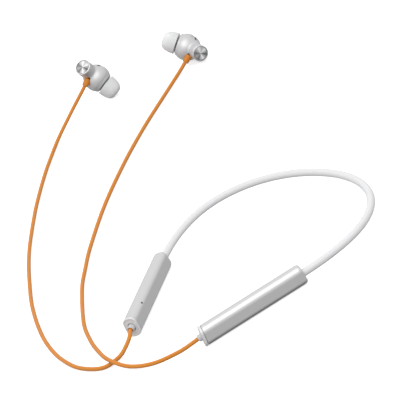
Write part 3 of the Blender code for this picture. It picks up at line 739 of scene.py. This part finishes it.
# ---- Band and cords ------------------------------------------------------------------------------
def bezier(start, handle_a, handle_b, end, steps):
    line = []
    for step in range(steps):
        t = step / steps
        line.append(start * (1 - t) ** 3 + handle_a * 3 * t * (1 - t) ** 2
                    + handle_b * 3 * t * t * (1 - t) + end * t ** 3)
    return line


def band_line(tail=0.0, rise=0.0, steps=44):
    """The band's centre line from inside the left pod to inside the right one."""
    way = Vector((math.sin(TOE_IN), math.cos(TOE_IN)))
    root = Vector((POD_END_HALF_GAP, 0)) + way * POD_LENGTH
    apex = Vector((0, BAND_APEX_Y))
    reach_pod, reach_below, reach_above, reach_apex = BAND_HANDLES
    half = [root - way * (SLEEVE_INSET + tail)]
    half += bezier(root, root + way * reach_pod, BAND_WIDEST - Vector((0, reach_below)),
                   BAND_WIDEST, steps)
    half += bezier(BAND_WIDEST, BAND_WIDEST + Vector((0, reach_above)),
                   apex + Vector((reach_apex, 0)), apex, steps)
    left = [Vector((-p.x, p.y)) for p in half]
    line = [*left, apex, *reversed(half)]
    return [Vector((p.x, p.y, POD_MID_Z + rise)) + SHIFT for p in line]


def band_piece(name, radius, material, nodes, tail=0.0, rise=0.0, inner=0.0, sides=28):
    """A piece of the band, curving from one side to the other."""
    piece = tube(name, band_line(tail, rise), radius, sides, inner)
    finish_piece(piece, None, material, nodes, weighted=False)
    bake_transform(piece)
    return piece


def even_points(line, count):
    """Evenly spaced points on a line of points."""
    run = [0.0]
    for a, b in zip(line, line[1:]):
        run.append(run[-1] + (b - a).length)
    points, k = [], 0
    for step in range(count):
        goal = run[-1] * step / (count - 1)
        while k < len(run) - 2 and run[k + 1] < goal:
            k += 1
        points.append(line[k].lerp(line[k + 1], (goal - run[k]) / (run[k + 1] - run[k])))
    return points


def make_cord(name, side, route, earbud, material):
    """A free cord from inside a pod's boot to inside an earbud's strain relief."""
    relief = earbud["relief"]
    mouth = earbud["root"] + relief * (RELIEF_SPAN[1] + SEAM)
    start = []
    for place in (0.9, BOOT_TIP - 0.3):
        start.append(Vector((side * (POD_END_HALF_GAP + place * math.sin(TOE_IN)),
                             place * math.cos(TOE_IN), POD_MID_Z)))
    stations = [*start, *(Vector(p) for p in route), mouth]
    line = curve_through(stations, 24)
    line.append(mouth - relief * 1.2)
    points = [(p + SHIFT) * MM for p in even_points(line, 170)]
    piece = tube(name, [p / MM for p in points], CORD_RADIUS, 20)
    finish_piece(piece, LEFT if side < 0 else None, material,
                 [f"{earbud['side']}_cord"], weighted=False)
    if side > 0:
        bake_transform(piece)
    return piece


# ---- Earbuds -------------------------------------------------------------------------------------
def earbud_frames(side):
    """Frames along the tip, the barrel and the strain relief, as in the CAD."""
    centre, tip, beside, relief_side = EARBUDS[side]
    tip = tip.normalized()
    beside = (beside - tip * beside.dot(tip)).normalized()
    barrel = tip * math.cos(BARREL_ANGLE) + beside * math.sin(BARREL_ANGLE)
    down = tip.cross(beside) * relief_side
    relief = down * math.cos(RELIEF_LEAN) + tip * math.sin(RELIEF_LEAN)
    root = centre + tip * RELIEF_ROOT[0] + barrel * RELIEF_ROOT[1]
    found = {"side": side, "relief_side": relief_side, "root": root, "relief": relief}
    for key, z_axis, hint, origin in (("tip_axis", tip, beside, centre),
                                      ("barrel_axis", barrel, down, centre),
                                      ("relief_axis", relief, beside, root)):
        x_axis = (hint - z_axis * hint.dot(z_axis)).normalized()
        matrix = Matrix((x_axis, z_axis.cross(x_axis), z_axis)).transposed().to_4x4()
        matrix.translation = (origin + SHIFT) * MM
        found[key] = matrix
    return found


BULB = [(0, 9.3), (6.1, 9.3), (6.98, 7.85), (7.5, 7.0), (8.0, 5.6), (8.2, 4.0), (8.0, 2.2),
        (7.25, -0.3), (5.7, -2.6), (3.3, -4.4), (1.65, -5.0), (0, -5.15)]
BULB_ROOM = [(0, 9.0), (6.1, 9.0), (6.1, 7.85), (6.6, 7.0), (7.2, 4.5), (7.0, 2.2), (6.3, -0.2),
             (4.75, -2.1), (2.5, -3.5), (0, -4.1)]
DISH = [(0, 2.0), (2.9, 2.0), (2.9, 0.9), (2.35, 0.35), (1.9, 0.1), (1.3, 0.0), (0, -0.02)]


def line_distance(points, profile):
    """Signed distance from (radius, height) points to a closed profile on the axis."""
    line = np.array(profile)
    a, b = line[:-1], line[1:]
    edge = b - a
    away = points[:, None, :] - a[None]
    t = np.clip((away * edge).sum(2) / (edge ** 2).sum(1), 0, 1)
    gap = np.sqrt(((away - t[..., None] * edge) ** 2).sum(2)).min(1)
    rising = (a[None, :, 1] > points[:, None, 1]) != (b[None, :, 1] > points[:, None, 1])
    height = np.where(np.abs(edge[:, 1]) < 1e-9, 1e-9, edge[:, 1])
    cross = a[None, :, 0] + edge[None, :, 0] * (points[:, None, 1] - a[None, :, 1]) / height
    inside = ((rising & (points[:, None, 0] < cross)).sum(1) % 2) == 1
    return np.where(inside, -gap, gap)


def housing_distance(points, profile, turn, blend):
    """Distance to the bulb and barrel, which run into each other over a small fillet."""
    flat = np.stack([np.hypot(points[:, 0], points[:, 1]), points[:, 2]], 1)
    bulb = line_distance(flat, profile)
    local = points @ turn
    barrel = np.maximum(np.hypot(local[:, 0], local[:, 1]) - BARREL_RADIUS,
                        np.maximum(local[:, 2] - BARREL_STOCK, -local[:, 2]))
    near = np.maximum(blend - np.abs(bulb - barrel), 0) / blend
    return np.minimum(bulb, barrel) - near ** 2 * blend / 4


def vent_frame(earbud):
    """A frame at the bulb's centre: X out through the vent slot, Z along it."""
    turn = Matrix.Rotation(-earbud["relief_side"] * VENT_TURN, 4, "Z")
    slant = Matrix.Rotation(earbud["relief_side"] * VENT_SLANT, 4, "X")
    return earbud["tip_axis"] @ turn @ slant


def housing_skin(name, tip, barrel):
    """Bulb and barrel joined as one even skin, and then laid on their true shape."""
    profile = outline(BULB[:2], BULB[1:], steps=8)
    shell = revolve(name, profile, tip, 48)
    turn = tip.inverted() @ barrel
    core = revolve("core", [(0, BARREL_STOCK), (BARREL_RADIUS, BARREL_STOCK), (BARREL_RADIUS, 0),
                            (0, 0)], turn, 48)
    core.data.transform(core.matrix_world)
    work = bmesh.new()
    work.from_mesh(shell.data)
    work.from_mesh(core.data)
    work.to_mesh(shell.data)
    work.free()
    bpy.data.objects.remove(core)
    remesh = shell.modifiers.new("skin", "REMESH")
    remesh.mode = "VOXEL"
    remesh.voxel_size = 0.24 * MM
    bpy.context.view_layer.update()
    mesh = bpy.data.meshes.new_from_object(
        shell.evaluated_get(bpy.context.evaluated_depsgraph_get()))
    shell.modifiers.clear()
    shell.data = mesh
    count = len(mesh.vertices)
    points = np.empty(count * 3)
    mesh.vertices.foreach_get("co", points)
    points = points.reshape(-1, 3) / MM
    turn = np.array(turn.to_3x3())
    for _ in range(4):
        slope = np.zeros_like(points)
        for axis in range(3):
            step = np.zeros(3)
            step[axis] = 0.02
            slope[:, axis] = (housing_distance(points + step, profile, turn, HOUSING_FILLET)
                              - housing_distance(points - step, profile, turn, HOUSING_FILLET))
        slope /= np.maximum(np.linalg.norm(slope, axis=1, keepdims=True), 1e-9)
        gap = housing_distance(points, profile, turn, HOUSING_FILLET)
        points -= slope * gap[:, None]
    mesh.vertices.foreach_set("co", (points * MM).ravel())
    mesh.update()
    return shell


def rear_housing(earbud):
    """The skin of bulb and barrel, hollowed and opened at the front, barrel end, collar and vent."""
    tip, barrel = earbud["tip_axis"], earbud["barrel_axis"]
    shell = housing_skin(f"{earbud['side']}_bulb_shell", tip, barrel)
    room = revolve("room", BULB_ROOM, tip, 48)
    relief_hole = revolve("relief_hole", [(0, 12), (2.0, 12), (2.0, 2), (0, 2)],
                          earbud["relief_axis"], 32)
    front = revolve("front", [(0, 12), (9.5, 12), (9.5, 7.97), (0, 7.97)], tip, 48)
    end = revolve("end", [(0, 15), (6.5, 15), (6.5, 10.5), (4.75, 12.2), (0, 12.2)], barrel, 64)
    bore = revolve("bore", [(0, 14), (4.05, 14), (4.05, 1), (0, 1)], barrel, 48)
    out = vent_frame(earbud)
    dish = out @ Matrix.Translation(Vector((DISH_FLOOR, 0, 0)) * MM)
    dish = dish @ Matrix.Rotation(math.pi / 2, 4, "Y") @ Matrix.Diagonal((1.15, 0.95, 1.0, 1.0))
    dish = revolve("dish", DISH, dish, 40)
    rings = [[(q, u, v) for u, v in rounded_rect(*VENT_SLOT, 10)] for q in (4.5, 10.0)]
    slot = loft("slot", rings, out)
    cutters = (front, end, room, bore, relief_hole, dish, slot)
    return carve(shell, *((cutter, "DIFFERENCE") for cutter in cutters))


FRONT = outline([(1.7, 14.45), (1.85, 14.6), (2.45, 14.6), (2.75, 14.5), (2.9, 14.2), (2.88, 13.6),
                 (2.5, 13.1)], [(2.5, 13.1), (2.5, 9.9)], [(2.5, 9.9), (2.75, 9.72), (5.3, 9.62)],
                [(5.3, 9.62), (6.1, 9.35), (6.55, 8.85), (6.91, 8.01)], [(6.91, 8.01), (5.98, 8.01)],
                [(5.98, 8.01), (5.98, 7.42)], [(5.98, 7.42), (5.4, 7.42)],
                [(5.4, 7.42), (5.4, 8.85), (1.7, 9.0)], [(1.7, 9.0), (1.7, 14.45)])
TIP = outline([(2.0, 18.35), (2.25, 18.7), (2.9, 18.82), (3.9, 18.45), (5.0, 17.45), (5.85, 15.75),
               (6.33, 13.6), (6.55, 11.4), (6.58, 10.35), (6.45, 10.18), (6.28, 10.25)],
              [(6.28, 10.25), (6.12, 11.6), (5.8, 13.3), (5.25, 15.1), (4.6, 16.0), (4.05, 15.9),
               (3.82, 15.2), (3.8, 14.0)], [(3.8, 14.0), (3.8, 10.5), (3.65, 10.3), (3.35, 10.3),
               (3.2, 10.5), (3.2, 14.9)], [(3.2, 14.9), (2.9, 15.6), (2.2, 16.2), (2.0, 16.7)],
              [(2.0, 16.7), (2.0, 18.35)])
TRIM_RING = outline([(4.25, 12.55), (4.25, 13.0), (4.32, 13.08), (4.62, 13.1), (4.82, 13.02),
                     (4.9, 12.84), (4.9, 12.5)], [(4.9, 12.5), (4.25, 12.5)],
                    [(4.25, 12.5), (4.25, 12.55)], steps=4)
# Painted highlights and shade on the disc: place round it, from 0 to 1, and painted brightness there
DISC_PAINTED_SHEEN = ((0.0, 0.60), (0.02, 0.56), (0.11, 1.0), (0.19, 0.55), (0.28, 0.16), (0.39, 0.42),
            (0.49, 0.14), (0.57, 0.62), (0.63, 1.0), (0.70, 0.50), (0.78, 0.08), (0.85, 0.45),
            (0.92, 0.95), (1.0, 0.60))
DISC = outline([(0, 12.84), (1.2, 12.86), (2.6, 12.9), (3.55, 12.95)],
               [(3.55, 12.95), (3.78, 12.95), (3.92, 12.86), (3.95, 12.7)],
               [(3.95, 12.7), (3.95, 12.3)], [(3.95, 12.3), (3.5, 12.3)],
               [(3.5, 12.3), (3.5, 11.9)], [(3.5, 11.9), (0, 11.9)], steps=5)
COLLAR = outline([(0, 3.6), (1.6, 3.6), (1.85, 3.75), (1.9, 4.0)], [(1.9, 4.0), (1.92, 6.5),
                 (1.86, 7.75)], [(1.86, 7.75), (1.76, 7.85), (1.76, 8.0), (1.86, 8.08)],
                 [(1.86, 8.08), (1.9, 8.25), (1.8, 8.5), (1.55, 8.6), (1.35, 8.55)],
                 [(1.35, 8.55), (1.3, 8.4), (1.3, 7.0)], [(1.3, 7.0), (0, 7.0)], steps=4)


def make_earbud(side, looks):
    """An earbud's housing, and the turned pieces on its tip, barrel, relief and vent."""
    earbud = earbud_frames(side)
    tip, barrel = earbud["tip_axis"], earbud["barrel_axis"]
    out = vent_frame(earbud) @ Matrix.Rotation(math.pi / 2, 4, "Y")
    finish_piece(rear_housing(earbud), LEFT, looks["earbud_shell"],
                 [f"{side}_rear_housing"], angle=35)
    turned = (
        ("front_shell", FRONT, tip, True, "earbud_shell", "front_housing", LEFT),
        ("silicone_tip", TIP, tip, True, "tip_silicone", "ear_tip", f"{side}_ear_tip_body"),
        ("trim", TRIM_RING, barrel, True, "metal_disc", "trim_ring", LEFT),
        ("disc", DISC, barrel, False, "metal_disc", "disc_cap", LEFT),
        ("collar", COLLAR, earbud["relief_axis"], False, "orange_rubber", "strain_relief", LEFT),
        ("nozzle_grille", [(0, 14.26), (0.7, 14.25), (1.3, 14.2), (1.4, 14.14), (1.4, 14.0),
                           (0, 14.0)], tip, False, "steel", "nozzle_mesh", LEFT),
        ("vent_grille", [(0, 5.62), (1.65, 5.6), (1.7, 5.55), (1.7, 5.4), (0, 5.4)], out, False,
         "steel", "vent_mesh", LEFT),
    )
    for piece, profile, matrix, closed, slot, node, body in turned:
        look = looks.get(piece, looks.get(slot))
        made = revolve(f"{side}_{piece}", profile, matrix, 80, closed)
        finish_piece(made, body, look, [f"{side}_{node}"], weighted=False,
                     keep_axes=piece in ("disc", "trim"))
    return earbud


# ---- Lights and floor ----------------------------------------------------------------------------
# Height, from 0 straight down to 1 straight up, and brightness there
WORLD = ((0.0, 0.04), (0.08, 0.25), (0.16, 0.52), (0.24, 0.54), (0.30, 0.46), (0.37, 0.50),
         (0.45, 0.64), (0.54, 0.78), (0.70, 0.86), (0.90, 0.92))
# Name, place, aim, size and power
LIGHTS = [("overhead", (0.47, -0.27, 1.04), (0.0, 0.0, 0.0), (1.3, 1.3), 5.0)]
FLOOR_HALF = 6000
FLOOR_Z = -0.05


def area_light(name, place, aim, size, power):
    data = bpy.data.lights.new(name, "AREA")
    data.shape = "RECTANGLE"
    data.size, data.size_y = size
    data.energy = power
    light = bpy.data.objects.new(name, data)
    bpy.context.scene.collection.objects.link(light)
    light.location = place
    light.rotation_mode = "QUATERNION"
    light.rotation_quaternion = (Vector(aim) - Vector(place)).to_track_quat("-Z", "Y")


def make_floor():
    corners = [(x * FLOOR_HALF, y * FLOOR_HALF, FLOOR_Z)
               for x, y in ((-1, -1), (1, -1), (1, 1), (-1, 1))]
    floor = new_object("floor", corners, [(0, 1, 2, 3)])
    floor.data.materials.append(floor_finish())
    floor.visible_diffuse = False
    floor.visible_glossy = False


def make_world():
    """Even studio light: bright above, dimmer at the sides, dark below."""
    world = bpy.data.worlds.new("studio")
    bpy.context.scene.world = world
    world.use_nodes = True
    nodes, links = world.node_tree.nodes, world.node_tree.links
    place = nodes.new("ShaderNodeTexCoord")
    split = nodes.new("ShaderNodeSeparateXYZ")
    ramp = nodes.new("ShaderNodeValToRGB")
    turn = nodes.new("ShaderNodeMapRange")
    turn.inputs["From Min"].default_value = -1.0
    links.new(place.outputs["Generated"], split.inputs["Vector"])
    links.new(split.outputs["Z"], turn.inputs["Value"])
    links.new(turn.outputs["Result"], ramp.inputs["Fac"])
    stops = ramp.color_ramp.elements
    stops.remove(stops[1])
    stops[0].position = WORLD[0][0]
    for k, (height, level) in enumerate(WORLD):
        stop = stops.new(height) if k else stops[0]
        stop.color = (level, level, level, 1.0)
    links.new(ramp.outputs["Color"], nodes["Background"].inputs["Color"])
    nodes["Background"].inputs["Strength"].default_value = 1.0


# ---- Assembly ------------------------------------------------------------------------------------
def make_looks():
    """The materials, by slot name or, where a slot has more than one look, by piece."""
    return {
        "shell": shell_finish(), "cap": cap_finish(), "earbud_shell": earbud_finish(),
        "sleeve": sleeve_finish(), "boot": boot_finish(),
        "orange_rubber": orange_finish("cord_jacket"),
        "collar": orange_finish("collar_rubber", 2.0), "tip_silicone": tip_finish(),
        # The disc's sectors of light and dark are painted highlights and shade
        "disc": spun_finish("spun_disc_painted_sheen", (1.0, 1.0, 1.0), 0.30, 0.6, DISC_PAINTED_SHEEN),
        "trim": spun_finish("polished_trim", (0.80, 0.80, 0.81), 0.16, 0.4),
        "steel": plain_metal("plain_steel", (0.60, 0.61, 0.63), 0.30),
        "nozzle_grille": mesh_finish("nozzle_mesh_metal", 5200.0),
        "vent_grille": mesh_finish("vent_mesh_metal", 6500.0),
        "inner_plastic": dark_plastic("black_plastic"), "circuit_board": board_finish(),
        "chip": dark_plastic("chip_epoxy", (0.02, 0.02, 0.022), 0.35),
        "battery_wrap": foil_finish(),
        "copper": plain_metal("copper_strands", (0.72, 0.38, 0.20), 0.35),
        "light_guide": clear_finish(),
        "metal_disc": plain_metal("disc_metal", (0.7, 0.7, 0.7), 0.3),
    }


def make_band(looks):
    """The sleeve with the memory wire and the conductors inside it."""
    band_piece("neckband_sleeve", SLEEVE_RADIUS, looks["sleeve"],
               ["band_sleeve_left", "band_sleeve_right"], inner=1.6)
    band_piece("memory_wire_core", 0.5, looks["steel"], ["memory_wire"], 3.0, -0.75,
               sides=10)
    band_piece("harness_core", 0.45, looks["copper"], ["band_harness"], 3.0, 0.7,
               sides=10)


def make_pods(looks):
    """Both pods with their caps and boots, and the left pod's buttons and port."""
    housing, guide, grille = make_left_housing()
    finish_piece(housing, LEFT, looks["shell"], ["left_pod_housing"])
    finish_piece(guide, LEFT, looks["light_guide"], ["light_guide"])
    finish_piece(grille, LEFT, looks["vent_grille"], ["microphone_mesh"])
    finish_piece(pod_housing("right_pod_shell", 1), RIGHT, looks["shell"],
                 ["right_pod_housing"])
    for name, side, body in (("left", -1, LEFT), ("right", 1, RIGHT)):
        finish_piece(end_cap(f"{name}_cap", side), body, looks["cap"],
                     [f"{name}_end_cap"])
        boot = revolve(f"{name}_boot", BOOT, pod_matrix(side) @ ALONG_POD, 48)
        finish_piece(boot, body, looks["boot"], [f"{name}_cord_boot"], weighted=False)
    arm, half = 0.75, 0.13
    plus = [(arm, half), (half, half), (half, arm), (-half, arm), (-half, half), (-arm, half),
            (-arm, -half), (-half, -half), (-half, -arm), (half, -arm), (half, -half), (arm, -half)]
    minus = [(arm, half), (-arm, half), (-arm, -half), (arm, -half)]
    marks = {"volume_up_button": plus, "multifunction_button": rounded_rect(0.8, 0.8, 0.4, 8),
             "volume_down_button": minus}
    for name, mark in marks.items():
        finish_piece(make_button(name, -1, mark), f"{name}_body", looks["shell"], [name])
    shell, tongue = make_port()
    finish_piece(shell, LEFT, looks["steel"], ["usb_c_shell"])
    finish_piece(tongue, LEFT, looks["inner_plastic"], ["usb_c_tongue"])


def dress_cad_nodes(looks):
    """Give each CAD node the look of its material slot."""
    slots = {part["node"]: part["material_slot"] for part in frame["record"]["subparts"]}
    for node, obj in frame["nodes"].items():
        for place in obj.material_slots:
            place.material = looks[slots[node]]


def main():
    make_camera()
    looks = make_looks()
    left, right = earbud_frames("left"), earbud_frames("right")
    make_cord("left_cord_jacket", -1, LEFT_ROUTE, left, looks["orange_rubber"])
    make_cord("right_cord_jacket", 1, RIGHT_ROUTE, right, looks["orange_rubber"])
    make_band(looks)
    make_pods(looks)
    make_earbud("left", looks)
    make_earbud("right", looks)
    dress_cad_nodes(looks)
    make_floor()
    make_world()
    for light in LIGHTS:
        area_light(*light)
    bpy.context.scene.view_settings.view_transform = "Standard"


main()
